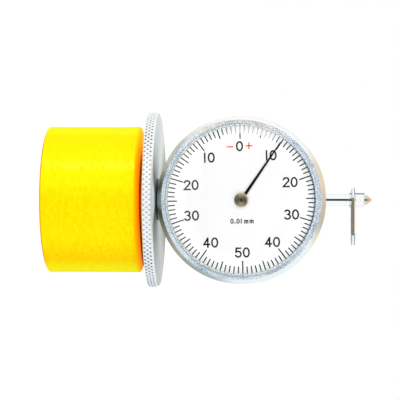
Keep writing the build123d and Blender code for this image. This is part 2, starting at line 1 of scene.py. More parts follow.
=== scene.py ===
# Crankshaft deflection gauge: its finishes, knurled disc and dial print, with lamps, floor and camera
import math
import bpy
import numpy as np
from mathutils import Matrix, Vector


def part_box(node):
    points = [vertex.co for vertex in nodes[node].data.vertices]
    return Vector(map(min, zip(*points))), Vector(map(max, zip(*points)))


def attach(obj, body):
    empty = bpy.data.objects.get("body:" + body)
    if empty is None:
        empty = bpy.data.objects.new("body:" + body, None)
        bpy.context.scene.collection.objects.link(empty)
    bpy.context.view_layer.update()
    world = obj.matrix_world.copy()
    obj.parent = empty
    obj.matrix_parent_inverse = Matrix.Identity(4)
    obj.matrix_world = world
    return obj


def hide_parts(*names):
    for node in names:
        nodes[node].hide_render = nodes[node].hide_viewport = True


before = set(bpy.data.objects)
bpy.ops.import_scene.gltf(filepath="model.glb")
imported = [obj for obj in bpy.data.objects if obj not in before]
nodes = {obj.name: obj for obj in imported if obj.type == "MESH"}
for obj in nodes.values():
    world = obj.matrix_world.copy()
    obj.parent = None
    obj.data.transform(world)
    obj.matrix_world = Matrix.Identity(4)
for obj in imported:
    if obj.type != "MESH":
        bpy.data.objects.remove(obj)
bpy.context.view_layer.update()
mm = 0.001

dialLow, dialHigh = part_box("dial_plate")
dialHeight = (dialLow.z + dialHigh.z) / 2
dialFront = dialLow.y  # the dial faces -Y, so its front is its lowest y
print("frame loaded, dial centre", round(dialHeight / mm, 2), "mm up")


# Node trees

class Wire:
    # An output socket. Arithmetic on it adds the Math nodes that work it out
    def __init__(self, finish, socket):
        self.finish = finish
        self.socket = socket

    def __add__(self, other):
        return self.finish.maths("ADD", self, other)

    def __sub__(self, other):
        return self.finish.maths("SUBTRACT", self, other)

    def __rsub__(self, other):
        return self.finish.maths("SUBTRACT", other, self)

    def __mul__(self, other):
        return self.finish.maths("MULTIPLY", self, other)

    def __truediv__(self, other):
        return self.finish.maths("DIVIDE", self, other)

    def __pow__(self, other):
        return self.finish.maths("POWER", self, other)

    def __abs__(self):
        return self.finish.maths("ABSOLUTE", self)

    __radd__ = __add__
    __rmul__ = __mul__


class Finish:
    # A material, or the world, whose nodes are being laid
    def __init__(self, owner):
        owner.use_nodes = True
        self.owner = owner
        self.tree = owner.node_tree
        self.tree.nodes.clear()

    def add(self, kind, settings=None, sockets=None, output=0):
        # Any node: its settings come first, then the values or links of its sockets
        node = self.tree.nodes.new(kind)
        for name, value in (settings or {}).items():
            setattr(node, name, value)
        for name, value in (sockets or {}).items():
            socket = node.inputs[name]
            if isinstance(value, Wire):
                self.tree.links.new(value.socket, socket)
            else:
                socket.default_value = (*value, 1.0) if socket.type == "RGBA" else value
        return Wire(self, node.outputs[output] if node.outputs else None)

    def maths(self, operation, *values):
        return self.add("ShaderNodeMath", {"operation": operation}, dict(enumerate(values)))

    def clamp(self, value):
        # The value, but at least 0 and at most 1
        return self.maths("MINIMUM", self.maths("MAXIMUM", value, 0.0), 1.0)

    def millimetres(self, stretch=(1, 1, 1), shift=(0, 0, 0)):
        # The point on the piece in millimetres, moved by shift, then stretched
        point = self.add("ShaderNodeTexCoord", output=3)
        point = self.add("ShaderNodeVectorMath", {"operation": "SCALE"}, {0: point, "Scale": 1 / mm})
        point = self.add("ShaderNodeVectorMath", {"operation": "ADD"}, {0: point, 1: shift})
        return self.add("ShaderNodeVectorMath", {"operation": "MULTIPLY"}, {0: point, 1: stretch})

    def split(self, vector):
        # The three parts of a vector
        first = self.add("ShaderNodeSeparateXYZ", sockets={0: vector})
        return [Wire(self, socket) for socket in first.socket.node.outputs]

    def fromSpindle(self):
        # x, y and z in millimetres, and the distance from the spindle's axis
        x, y, z = self.split(self.millimetres())
        return x, y, z, (x * x + y * y) ** 0.5

    def fromDial(self):
        # x, y and the height over the dial's centre in millimetres, and the distance from the dial's axis
        x, y, up = self.split(self.millimetres(shift=(0, 0, -dialHeight / mm)))
        return x, y, up, (x * x + up * up) ** 0.5

    def grain(self, perMm=1.0, detail=3.0, roughness=0.5, stretch=(1, 1, 1)):
        # Noise in space
        place = self.millimetres(stretch)
        return self.add(
            "ShaderNodeTexNoise", {"noise_dimensions": "3D"},
            {"Vector": place, "Scale": perMm, "Detail": detail, "Roughness": roughness},
        )

    def lathe(self, distance, perMm, detail=2.0):
        # Grooves that follow one distance, as a lathe tool leaves them
        return self.add(
            "ShaderNodeTexNoise", {"noise_dimensions": "1D"},
            {"W": distance, "Scale": perMm, "Detail": detail},
        )

    def ease(self, value, low, high, first=0.0, last=1.0):
        # first where the value is at low, last where it is at high, smooth between. low may be the greater
        return self.add(
            "ShaderNodeMapRange", {"interpolation_type": "SMOOTHSTEP"},
            {"Value": value, "From Min": low, "From Max": high, "To Min": first, "To Max": last},
        )

    def band(self, value, begin, full, fade, gone):
        # 0 before begin and after gone, 1 from full to fade
        return self.ease(value, begin, full) * self.ease(value, gone, fade)

    def around(self, noise, middle, swing):
        # The middle, plus the swing times how far the noise is from its own middle
        return (noise - 0.5) * swing + middle

    def blend(self, mask, first, second):
        # The first colour where the mask is 0, the second where it is 1
        return self.add("ShaderNodeMix", {"data_type": "RGBA"}, {0: mask, 6: first, 7: second}, output=2)

    def fade(self, value, limits, first, second):
        # The first colour, which changes to the second as the value goes from one limit to the other
        return self.blend(self.ease(value, *limits), first, second)

    def bump(self, height, depthMm, strength):
        return self.add(
            "ShaderNodeBump", sockets={"Height": height, "Distance": depthMm * mm, "Strength": strength}
        )

    def close(self, look, base, noise, relief=None, rougher=0.0, sockets=None):
        # The one shader and its output. The roughness is the look's, swung by the noise, plus rougher. The
        # noise is the relief too where none is given
        surface = {
            "Base Color": base,
            "Metallic": look.get("metallic", 0.0),
            "Roughness": self.around(noise, *look["roughness"]) + rougher,
            "Specular IOR Level": look.get("specular", 0.5),
        }
        if "depth" in look:
            surface["Normal"] = self.bump(relief or noise, look["depth"], look.get("strength", 1.0))
        shader = self.add("ShaderNodeBsdfPrincipled", sockets={**surface, **(sockets or {})})
        self.add("ShaderNodeOutputMaterial", sockets={"Surface": shader})
        return self.owner


def grey(level):
    return (level, level, level)


def newFinish(name):
    return Finish(bpy.data.materials.new(name))


contrast = (0.3, 0.7)  # where a tone starts and ends, since noise seldom leaves this range


# Plain finishes: what each kind of marks has, and then the finishes of that kind

markKinds = {
    "turned": {"metallic": 1.0, "share": 0.6, "tone": contrast, "cloudPerMm": 0.25, "swing": 0.12},
    "brushed": {"metallic": 1.0, "share": 0.6, "tone": (0.35, 0.65), "cloudPerMm": 0.2, "swing": 0.15},
    "grainy": {"metallic": 0.0, "share": 0.5, "tone": (0.35, 0.65), "cloudPerMm": 0.15, "swing": 0.1},
}

turnedLooks = {
    "poleSteel": {"tones": [(0.42, 0.43, 0.44), (0.62, 0.63, 0.64)],
                  "roughness": 0.34, "perMm": 6.0, "depth": 0.012},
    "faceBrass": {"tones": [(0.60, 0.42, 0.16), (0.80, 0.62, 0.30)],
                  "roughness": 0.33, "perMm": 6.0, "depth": 0.012},
    "turnedSteel": {"tones": [(0.46, 0.47, 0.49), (0.66, 0.67, 0.69)],
                    "roughness": 0.3, "perMm": 7.0, "depth": 0.01},
    "hubBlack": {"tones": [(0.012, 0.012, 0.013), (0.04, 0.04, 0.042)], "metallic": 0.2,
                 "roughness": 0.5, "perMm": 5.0, "depth": 0.012},
    "strawSteel": {"tones": [(0.62, 0.50, 0.38), (0.97, 0.82, 0.64)],
                   "roughness": 0.22, "perMm": 2.4, "depth": 0.004},
    "turnedCover": {"tones": [(0.52, 0.54, 0.56), (0.72, 0.74, 0.76)], "metallic": 0.9,
                    "roughness": 0.36, "perMm": 3.5, "depth": 0.015, "aboutDial": True},
}

grainyLooks = {
    "ferrite": {"tones": [(0.020, 0.020, 0.022), (0.055, 0.055, 0.06)],
                "roughness": 0.7, "perMm": 3.0, "depth": 0.02},
    "brownFibre": {"tones": [(0.16, 0.08, 0.008), (0.28, 0.15, 0.012)],
                   "roughness": 0.7, "perMm": 3.0, "depth": 0.02},
    "castCase": {"tones": [(0.36, 0.37, 0.38), (0.50, 0.51, 0.53)], "metallic": 0.75,
                 "roughness": 0.46, "perMm": 4.0, "depth": 0.012},
    "blackRubber": {"tones": [grey(0.012), grey(0.03)],
                    "roughness": 0.8, "perMm": 4.0, "depth": 0.02},
    "blackHand": {"tones": [(0.002, 0.002, 0.003), (0.006, 0.006, 0.007)], "specular": 0.1,
                  "roughness": 0.5, "perMm": 8.0, "depth": 0.004},
    "printInk": {"tones": [(0.004, 0.006, 0.005), (0.012, 0.015, 0.014)], "specular": 0.15,
                 "roughness": 0.5, "perMm": 7.0, "depth": 0.004},
    "redInk": {"tones": [(0.90, 0.06, 0.015), (1.0, 0.09, 0.02)], "specular": 0.15,
               "roughness": 0.5, "perMm": 7.0, "depth": 0.004},
}

brushedLooks = {
    "movementBrass": {"tones": [(0.56, 0.40, 0.16), (0.78, 0.60, 0.29)],
                      "roughness": 0.32, "stretch": (4.0, 4.0, 0.3), "depth": 0.01},
    "springSteel": {"tones": [(0.22, 0.23, 0.26), (0.42, 0.43, 0.47)],
                    "roughness": 0.3, "stretch": (3.0, 3.0, 3.0), "depth": 0.006},
    "screwSteel": {"tones": [(0.50, 0.51, 0.53), (0.72, 0.73, 0.75)],
                   "roughness": 0.25, "stretch": (5.0, 5.0, 5.0), "depth": 0.006},
}


def plainFinish(finish, kind, look):
    # Turning leaves noise along the sum of the distance from the axis and the place along it, brushing
    # leaves noise drawn out along one direction, and blasting, casting or spraying an even fine noise.
    # The tone is the marks times their share plus a wider cloud times the rest
    if kind == "turned":
        if look.get("aboutDial"):
            x, along, up, radius = finish.fromDial()
        else:
            x, y, along, radius = finish.fromSpindle()
        marks = finish.lathe(radius + along, look["perMm"])
    elif kind == "brushed":
        marks = finish.grain(stretch=look["stretch"])
    else:
        marks = finish.grain(look["perMm"], roughness=0.6)
    cloud = finish.grain(look["cloudPerMm"])
    tone = finish.ease(marks * look["share"] + cloud * (1 - look["share"]), *look["tone"])
    base = finish.blend(tone, *look["tones"])
    look = {**look, "roughness": (look["roughness"], look["swing"])}
    return finish.close(look, base, marks if kind == "brushed" else cloud, marks)


# Finishes of single pieces. Pairs named after a place are where a mask starts and ends in millimetres,
# and two more numbers there are its values at the start and the end

enamelLook = {
    # lit and shaded tones of the one yellow paint, between which painted shading and mottle blend
    "light": (1.0, 1.0, 0.004),
    "deep": (1.0, 0.62, 0.0),
    "tone": 0.66,
    "fall": (-13.0, 6.0, 0.0, 0.3),  # painted shade: taken from the tone across x
    "rise": (20.0, 24.5, 0.0, 0.5),  # painted light: added towards both sides
    "shadeBands": [(1.0, 9.0, 0.2), (19.0, 5.0, 0.2)],  # painted shade bands: where across x the tone is deeper, how far, how much
    "streakStretch": (0.16, 0.16, 0.012),
    "streakDepth": 0.3,
    "mottleStretch": (0.5, 0.5, 1.0),
    "mottleDepth": 0.8,
    "specklePerMm": 2.2,
    "speckleDepth": 0.5,
    "unevenAcross": (-18.0, 2.0, 0.4, 1.0),
    "sideHighlight": (1.0, 1.0, 0.03),  # painted highlight: a paler line along the side
    "sideHighlightMiddle": -11.5,
    "sideHighlightReach": 2.6,
    "sideHighlightMottle": (0.35, 0.65),
    # painted shade: a deeper orange line along the foot
    "foot": (1.0, 0.40, 0.0),
    "footHeight": (0.4, 0.35),
    "footAside": (23.0, 17.0),
    "endHeight": (31.2, 31.45),
    "end": (1.0, 0.30, 0.0),  # painted shade: the end face in the gap, a deeper orange than the side
    "deepShade": (0.20, 0.085, 0.004),  # darker painted shade on the end face, deep under the disc
    "deepShadeDepth": (13.0, 19.0),
    "deepShadeAcross": (-21.0, -11.0),
    "glow": [(1.0, 0.50, 0.0), (1.0, 0.21, 0.0)],  # painted bounce light, as emission thrown back in the gap, near and far
    "glowDepth": (0.0, 15.0),
    "glowTop": [(1.0, 0.78, 0.0), (1.0, 0.52, 0.0)],
    "glowTopDepth": (0.0, 10.0),
    "glowTopAcross": (-25.0, -10.0),
    "glowStrength": 0.72,
    "glowLoss": 0.95,  # where the deeper painted shade lies
    "radius": 25.0,
    "roughness": (0.5, 0.1),
    "specular": 0.012,
    "depth": 0.012,
    "strength": 0.6,
}


def yellowEnamel(finish, look):
    # The side's tone is painted shading, falling across x, rising to both sides and deeper in bands, with
    # long streaks, mottle and speckle on it, a painted highlight line along it and painted shade at the
    # foot. The end face under the disc is painted shade, with painted bounce light glowing at its front edge
    # and darker painted shade where it lies deep behind that edge, by y plus the root of the radius squared
    # less x squared
    x, y, z = finish.split(finish.millimetres())
    aside = abs(x)
    streaks = finish.grain(stretch=look["streakStretch"])
    speckle = finish.grain(look["specklePerMm"], detail=2.0, roughness=0.6)
    mottle = finish.grain(roughness=0.6, stretch=look["mottleStretch"])
    # painted shading: darker across x and in bands, lighter at both sides
    tone = look["tone"] - finish.ease(x, *look["fall"]) + finish.ease(aside, *look["rise"])
    for middle, reach, amount in look["shadeBands"]:
        tone = tone - finish.ease(abs(x - middle), reach, 0.0, 0.0, amount)
    uneven = (mottle - 0.5) * look["mottleDepth"] + (speckle - 0.5) * look["speckleDepth"]
    tone = tone + (streaks - 0.5) * look["streakDepth"] + uneven * finish.ease(x, *look["unevenAcross"])
    side = finish.blend(finish.clamp(tone), look["deep"], look["light"])
    # painted highlight along the side
    sideHighlight = finish.ease(abs(x - look["sideHighlightMiddle"]), look["sideHighlightReach"], 0.0)
    side = finish.blend(sideHighlight * finish.ease(mottle, *look["sideHighlightMottle"]), side, look["sideHighlight"])
    # painted shade along the foot
    foot = finish.ease(z, *look["footHeight"]) * finish.ease(aside, *look["footAside"])
    side = finish.blend(foot, side, look["foot"])
    top = finish.ease(z, *look["endHeight"])
    behind = y + finish.maths("MAXIMUM", look["radius"] ** 2 - x * x, 0.0) ** 0.5
    # painted shade deep behind the end face's front edge
    deepShaded = finish.ease(behind, *look["deepShadeDepth"]) * finish.ease(x, *look["deepShadeAcross"])
    glow = finish.fade(behind, look["glowDepth"], *look["glow"])
    glowTop = finish.fade(behind, look["glowTopDepth"], *look["glowTop"])
    glow = finish.fade(x, look["glowTopAcross"], glowTop, glow)
    # the end face takes the painted shade colours
    base = finish.blend(top, side, finish.blend(deepShaded, look["end"], look["deepShade"]))
    # the emission is painted bounce light on the end face
    return finish.close(look, base, speckle, sockets={
        "Emission Color": finish.blend(top * (1 - deepShaded * look["glowLoss"]), grey(0), glow),
        "Emission Strength": look["glowStrength"],
    })


knurlLook = {
    "face": [(0.21, 0.23, 0.20), (0.86, 0.94, 0.97)],  # painted sheen: dark, and light where the turned face catches the light
    # painted light near the face's middle line
    "faceMiddle": (0.66, 0.82, 0.92),
    "middleShare": (0.12, 0.42),  # of the distance from the axis that a point lies aside
    "sheenShare": (0.25, 0.95),
    # painted shade: the sheen falls towards +x
    "sheenAcross": (2.0, 14.0, 1.0, 0.65),
    "sheenMottle": 0.12,
    "rimRadius": (29.2, 29.35),
    "ridge": [(0.88, 0.90, 0.91), (0.96, 0.97, 0.98)],
    # painted shade: the ridges darker towards +x
    "ridgeShade": (0.83, 0.88, 0.91),
    "ridgeShadeAcross": (-8.0, 3.0),
    "groove": (0.40, 0.46, 0.51),  # painted shade lines between the rows of pits, at both sides
    "rowMiddle": 35.85,
    "rowSpacing": 0.975,
    "grooveWidth": (0.3, 0.05),
    "grooveAside": (25.5, 28.5),
    "grooveAcross": (-5.0, 5.0, 0.3, 1.0),
    "edge": (0.62, 0.53, 0.42),  # tan front edge
    "edgeHeight": (37.15, 37.25),
    "edgeAside": (18.0, 4.0),
    "back": (0.90, 0.55, 0.12),  # painted reflection of the magnet's yellow paint on the back edge
    "backHeight": (34.65, 34.5),
    "backAside": (22.0, 12.0),
    # painted shade, with orange bounce light, on the boss in the gap
    "boss": (0.30, 0.17, 0.015),
    "bossHeight": (34.1, 34.2),
    "pit": [(0.50, 0.55, 0.58), grey(0.035)],  # painted shade in the pits: lighter near the middle, darker towards both sides
    "pitAside": (11.0, 23.0),
    "pitDepth": (0.25, 0.95),
    "rimMetal": 0.15,
    "lossShare": (0.4, 0.1, 0.0, 0.5),  # of the metal look, towards the middle line of the face
    "rimPolish": 0.22,
    "grooveDulling": 0.4,
    "roughness": (0.57, 0.12),
    "ringsPerMm": 7.0,
    "cloudPerMm": 0.25,
    "depth": 0.01,
}


def knurledAluminium(finish, look):
    # The face is turned rings under a painted sheen, which grows with the share of the distance from the
    # axis that a point lies aside and falls towards +x. The rim has ridges with a tan front edge and painted
    # shade towards +x, painted shade lines at both sides, by how far the height is from the nearest row of
    # pits, and painted shade in the pits, which the pit attribute finds. The back edge has a painted
    # reflection of the yellow paint, and the boss painted shade
    x, y, z, radius = finish.fromSpindle()
    rings = finish.lathe(radius, look["ringsPerMm"])
    cloud = finish.grain(look["cloudPerMm"])
    tone = finish.ease((rings + cloud) / 2, *contrast)
    aside = abs(x)
    share = aside / radius
    # painted sheen on the face
    sheen = finish.ease(share, *look["sheenShare"]) * finish.ease(x, *look["sheenAcross"])
    face = finish.blend(sheen + tone * look["sheenMottle"], *look["face"])
    face = finish.fade(share, look["middleShare"], look["faceMiddle"], face)
    ridges = finish.blend(tone, *look["ridge"])
    # painted shade on the ridges towards +x
    ridges = finish.fade(x, look["ridgeShadeAcross"], ridges, look["ridgeShade"])
    # painted shade lines between the rows of pits, at both sides
    fromRow = finish.maths("PINGPONG", z - look["rowMiddle"], look["rowSpacing"] / 2)
    groove = finish.ease(fromRow, *look["grooveWidth"]) * finish.ease(aside, *look["grooveAside"])
    groove = groove * finish.ease(x, *look["grooveAcross"])
    ridges = finish.blend(groove, ridges, look["groove"])
    edge = finish.ease(z, *look["edgeHeight"]) * finish.ease(aside, *look["edgeAside"])
    ridges = finish.blend(edge, ridges, look["edge"])
    rim = finish.ease(radius, *look["rimRadius"])
    metal = finish.blend(rim, face, ridges)
    # painted reflection of the yellow paint on the back edge
    back = finish.ease(z, *look["backHeight"]) * finish.ease(aside, *look["backAside"])
    metal = finish.blend(back, metal, look["back"])
    # painted shade on the boss
    metal = finish.fade(z, look["bossHeight"], look["boss"], metal)
    # painted shade in the pits, by how deep they sink
    pit = finish.add("ShaderNodeAttribute", {"attribute_name": "pit"}, output=2)
    pitted = finish.fade(aside, look["pitAside"], *look["pit"])
    base = finish.fade(pit, look["pitDepth"], metal, pitted)
    rougher = rim * (groove * look["grooveDulling"] - look["rimPolish"])
    loss = rim * (1 - look["rimMetal"]) + finish.ease(share, *look["lossShare"]) * (1 - rim)
    return finish.close(look, base, cloud, rings * (1 - rim), rougher, {"Metallic": 1 - loss})


dialLook = {
    "middle": (0.92, 0.92, 0.915),
    # painted light: whiter towards the edge
    "outer": grey(0.99),
    "outerRadius": (17.0, 24.0),
    "outerShare": 0.85,  # of the tone, and a wide cloud has the rest
    "cloudPerMm": 0.12,
    "line": (0.22, 0.36, 0.46),  # painted shadow: a dark line at the edge, towards the spindle
    "lineRadius": (24.25, 24.45),
    "lineHeight": (11.0, 24.5),
    "glowRadius": (17.0, 24.0, 0.15, 1.0),  # painted light: a glow thrown back under the crystal
    "glowAcross": (-10.0, -21.0, 0.6, 1.0),
    "glowStrength": 0.25,
    "roughness": (0.42, 0.1),
    "grainPerMm": 9.0,
    "depth": 0.003,
}


def dialEnamel(finish, look):
    # Baked white enamel, almost even, with a very fine grain, painted lighter towards its edge, with a
    # painted shadow line at the edge towards the spindle and painted light glowing near the edge
    x, y, up, radius = finish.fromDial()
    # painted light towards the edge
    outer = finish.ease(radius, *look["outerRadius"]) * look["outerShare"]
    cloud = finish.grain(look["cloudPerMm"]) * (1 - look["outerShare"])
    grain = finish.grain(look["grainPerMm"], detail=2.0)
    # painted shadow line at the edge
    line = finish.ease(radius, *look["lineRadius"]) * finish.ease(up, *look["lineHeight"])
    glow = finish.ease(radius, *look["glowRadius"]) * (1 - line) * finish.ease(x, *look["glowAcross"])
    white = finish.blend(outer + cloud, look["middle"], look["outer"])
    return finish.close(look, finish.blend(line, white, look["line"]), grain, sockets={
        # the emission is painted light near the dial's edge
        "Emission Color": finish.blend(glow, grey(0), grey(1)),
        "Emission Strength": look["glowStrength"],
    })


crystalLook = {
    "tint": (0.97, 0.98, 1.0),
    "least": 0.03,  # share of the light that it throws back, seen straight on
    "grazing": 0.9,  # and how much more at its grazing edges
    "metallic": 1.0,
    "roughness": (0.035, 0.03),
    "cloudPerMm": 0.3,
}


def clearCrystal(finish, look):
    # Thin clear plate: a mirror that covers as little as glass reflects, by the fifth power of the facing
    cloud = finish.grain(look["cloudPerMm"], detail=2.0)
    facing = finish.add("ShaderNodeLayerWeight", sockets={"Blend": 0.5}, output=1)
    cover = facing ** 5 * look["grazing"] + look["least"]
    return finish.close(look, look["tint"], cloud, sockets={"Alpha": cover})


bezelLook = {
    "ringFront": -3.2,  # over the dial, where the blasted ring meets the turned flank
    "ringShift": (8.0, 17.0, 0.0, 0.7),
    "ringSharpness": 6.0,
    "satin": [(0.26, 0.34, 0.50), (0.86, 0.94, 1.0)],
    "satinTone": (0.44, 0.56),
    "grainShare": 0.8,  # of the satin's tone, and a wide cloud has the rest
    "paleHeight": (-8.0, -20.0, 0.0, 0.02),
    "warm": (0.98, 0.84, 0.64),
    "warmRadius": (25.65, 25.85),
    "warmAcross": (-18.0, -29.0),
    # painted shade along the seam, on one side
    "seamShade": (0.40, 0.42, 0.38),
    "seamRadius": (25.6, 25.7, 25.95, 26.05),
    "seamAcross": (14.0, 22.0),
    "seamHeight": (-22.0, -10.0, 0.0, 0.6),
    "glare": [(0.98, 0.99, 1.0), (0.80, 0.90, 0.96)],  # painted highlight on the outer edge at both sides
    "glareAcross": (10.0, 22.0),
    "glareRadius": (26.55, 26.9),
    "glareAside": (20.0, 26.0),
    "glareLean": 0.5,  # further up it starts earlier
    # painted light and shade on the flank, lighter on the far side and changing across x
    "flank": [(0.86, 0.88, 0.86), grey(0.99)],
    "flankLight": [(0.99, 0.99, 0.98), (0.90, 0.98, 1.0)],
    "flankCool": (-4.0, 16.0),
    "flankFar": (-28.5, -24.0),
    "near": [(0.70, 0.71, 0.60), (1.0, 0.97, 0.80)],  # painted shade: the flank over the lock disc
    "nearAcross": (-20.0, -12.0),
    "nearLow": (0.76, 0.71, 0.53),
    "nearLowAcross": (4.0, 13.0),
    "nearHeight": (-23.2, -8.2),
    "ringMetal": 0.2,
    "roughness": (0.32, 0.2),
    "grainPerMm": 2.5,
    "cloudPerMm": 0.15,
    "turningPerMm": 9.0,
    "depth": 0.02,
}


def bezelSatin(finish, look):
    # A blasted front ring on a finely turned flank, told apart by how far forward they lie. The ring has a
    # warm outer zone, painted shade along its seam and a painted highlight on its outer edge, by their
    # radius. The flank's colour is painted light and shade, which changes across x and is darker over the
    # lock disc
    x, y, up, radius = finish.fromDial()
    border = finish.ease(abs(x), *look["ringShift"]) + (dialFront / mm + look["ringFront"])
    ring = finish.clamp(1 - (y - border) * look["ringSharpness"])
    grain = finish.grain(look["grainPerMm"], roughness=0.7)
    cloud = finish.grain(look["cloudPerMm"])
    turning = finish.lathe(y, look["turningPerMm"])

    warm = finish.ease(radius, *look["warmRadius"]) * finish.ease(x, *look["warmAcross"])
    light = finish.blend(warm, look["satin"][1], look["warm"])
    uneven = grain * look["grainShare"] + cloud * (1 - look["grainShare"])
    tone = finish.ease(uneven + finish.ease(up, *look["paleHeight"]), *look["satinTone"])
    satin = finish.blend(tone, look["satin"][0], light)
    # painted shade along the seam
    seamShade = finish.band(radius, *look["seamRadius"]) * finish.ease(x, *look["seamAcross"])
    satin = finish.blend(seamShade * finish.ease(up, *look["seamHeight"]), satin, look["seamShade"])
    # painted highlight on the outer edge
    leaning = abs(x) + up * look["glareLean"]
    glareMask = finish.ease(radius, *look["glareRadius"]) * finish.ease(leaning, *look["glareAside"])
    satin = finish.blend(glareMask, satin, finish.fade(x, look["glareAcross"], *look["glare"]))

    # painted light and shade on the flank
    flank = finish.fade(x, look["flankCool"], *look["flankLight"])
    tone = finish.ease((turning + cloud) / 2, *contrast)
    flank = finish.blend(tone, look["flank"][0], flank)
    flank = finish.fade(x, look["flankFar"], look["flank"][1], flank)
    near = finish.fade(x, look["nearAcross"], *look["near"])
    near = finish.fade(x, look["nearLowAcross"], near, look["nearLow"])
    flank = finish.fade(up, look["nearHeight"], near, flank)
    base = finish.blend(ring, flank, satin)
    relief = grain * ring + turning * (1 - ring)
    metallic = 1 - ring * (1 - look["ringMetal"])
    return finish.close(look, base, grain, relief, sockets={"Metallic": metallic})


crystalRingLook = {
    "satin": [(0.34, 0.38, 0.41), (0.93, 0.98, 1.0)],
    "satinTone": (0.40, 0.58),
    # painted shadow line against the glass
    "groove": (0.10, 0.16, 0.20),
    "grooveRadius": (24.95, 24.8),
    "grooveHeight": (10.0, 24.5, 0.35, 1.0),
    # painted shade along the seam, strongest towards the lock disc
    "seamShade": (0.40, 0.42, 0.38),
    "seamRadius": (25.2, 25.35),
    "seamHeight": (10.0, -6.0, 0.0, 0.75),
    "grainPerMm": 2.4,
    "metallic": 0.15,
    "roughness": (0.3, 0.1),
    "depth": 0.012,
}


def crystalRingSatin(finish, look):
    # Blasted like the bezel's ring, with a painted shadow line against the glass, deepest towards the
    # spindle, and painted shade along the seam against the bezel, strongest towards the lock disc
    x, y, up, radius = finish.fromDial()
    grain = finish.grain(look["grainPerMm"], roughness=0.6)
    satin = finish.fade(grain, look["satinTone"], *look["satin"])
    # painted shade along the seam
    seamShade = finish.ease(radius, *look["seamRadius"]) * finish.ease(up, *look["seamHeight"])
    satin = finish.blend(seamShade, satin, look["seamShade"])
    # painted shadow line against the glass, deepest towards the spindle
    groove = finish.ease(radius, *look["grooveRadius"]) * finish.ease(up, *look["grooveHeight"])
    return finish.close(look, finish.blend(groove, satin, look["groove"]), grain)


hubSteelLook = {
    "metal": [(0.34, 0.36, 0.36), (0.54, 0.56, 0.56)],
    # painted shade: the thread in the dark gap
    "threadShade": (0.020, 0.034, 0.022),
    "shoulderHeight": (37.6, 37.7),
    "metallic": 0.8,
    "roughness": (0.5, 0.1),
    "polish": 0.15,
    "marksPerMm": 7.0,
    "depth": 0.01,
}


def hubSteel(finish, look):
    # Turned steel above its shoulder, and the thread below it painted near black as shade in the gap
    x, y, z, radius = finish.fromSpindle()
    marks = finish.lathe(radius + z, look["marksPerMm"])
    metal = finish.fade(marks, contrast, *look["metal"])
    # painted shade on the thread below the shoulder
    above = finish.ease(z, *look["shoulderHeight"])
    base = finish.blend(above, look["threadShade"], metal)
    metallic = above * look["metallic"]
    return finish.close(look, base, marks, rougher=above * -look["polish"], sockets={"Metallic": metallic})


nutLook = {
    "metal": [(0.92, 0.93, 0.94), grey(0.98)],
    "lines": [(0.03, 0.03, 0.06), (0.84, 0.89, 0.95)],  # painted shade lines: dark at one corner, faint opposite
    "linesAcross": (-0.5, 0.5),
    "linesAside": (1.86, 1.94, 2.18, 2.26),
    # painted shade: a bluish outer end
    "outer": (0.55, 0.68, 0.88),
    "outerHeight": (107.45, 107.55, 0.0, 0.8),
    "outerAside": (1.9, 1.7),
    "metallic": 1.0,
    "roughness": (0.2, 0.05),
    "marksPerMm": 5.0,
    "depth": 0.003,
}


def brightNut(finish, look):
    # Bright plating with painted shade: a fine dark line along one corner, a faint one opposite and a bluish
    # outer end
    x, y, z = finish.split(finish.millimetres())
    aside = abs(x)
    marks = finish.lathe(z, look["marksPerMm"])
    # painted shade on the outer end
    outer = finish.ease(z, *look["outerHeight"]) * finish.ease(aside, *look["outerAside"])
    metal = finish.blend(outer, finish.blend(marks, *look["metal"]), look["outer"])
    # painted shade lines along the corners
    lines = finish.fade(x, look["linesAcross"], *look["lines"])
    return finish.close(look, finish.blend(finish.band(aside, *look["linesAside"]), metal, lines), marks)


leverLook = {
    "metal": [(0.78, 0.86, 0.95), (0.90, 0.94, 0.98)],
    "tone": (0.35, 0.65),
    "stretch": (0.25, 3.0, 3.0),
    "inner": [(0.50, 0.68, 0.86), (0.13, 0.22, 0.30)],  # painted shade: the face towards the case, and its darker front
    "innerHeight": (0.12, 0.02),  # over the lever's lowest point
    "innerFront": (0.6, -1.6),
    "outer": [(0.30, 0.36, 0.56), (0.95, 0.66, 0.32)],  # bluish at the ends, brass-coloured between them
    "outerDrop": (0.34, 0.28, 0.04, 0.02),  # under the lever's highest point
    "straight": (-1.1, -0.9, 11.4, 11.6),
    "outerLoss": 0.8,  # of its metal look
    "straightLoss": 0.13,
    "roughness": (0.2, 0.05),
    "outerDulling": 0.3,
    "innerDulling": 0.7,
    "depth": 0.002,
}


def platedLever(finish, look):
    # Plating brushed along the lever, with painted bluish shade on the inner face and bluish and
    # brass-coloured tones along the outer edge. Both are masks by height, times a band across x for the
    # straight part
    low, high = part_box("finger_lever")
    x, y, z = finish.split(finish.millimetres())
    scratches = finish.grain(stretch=look["stretch"])
    metal = finish.fade(scratches, look["tone"], *look["metal"])
    straight = finish.band(x, *look["straight"])
    # painted shade on the inner face
    inner = finish.ease(z, *(low.z / mm + rise for rise in look["innerHeight"]))
    facing = finish.blend(finish.ease(y, *look["innerFront"]) * straight, *look["inner"])
    outer = finish.band(z, *(high.z / mm - drop for drop in look["outerDrop"]))
    recoloured = finish.blend(straight, *look["outer"])
    bare = finish.maths("MAXIMUM", inner, look["straightLoss"]) * straight
    loss = finish.maths("MAXIMUM", outer * straight * look["outerLoss"], bare)
    base = finish.blend(outer, finish.blend(inner, metal, facing), recoloured)
    rougher = outer * look["outerDulling"] + inner * straight * look["innerDulling"]
    return finish.close(look, base, scratches, rougher=rougher, sockets={"Metallic": 1 - loss})


spindleLook = {
    "metal": [(0.92, 0.93, 0.93), grey(0.97)],
    "side": (0.78, 0.81, 0.88),
    "sideAside": (1.8, 1.88),
    "metallic": 1.0,
    "roughness": (0.09, 0.02),
    "marksPerMm": 1.2,
}


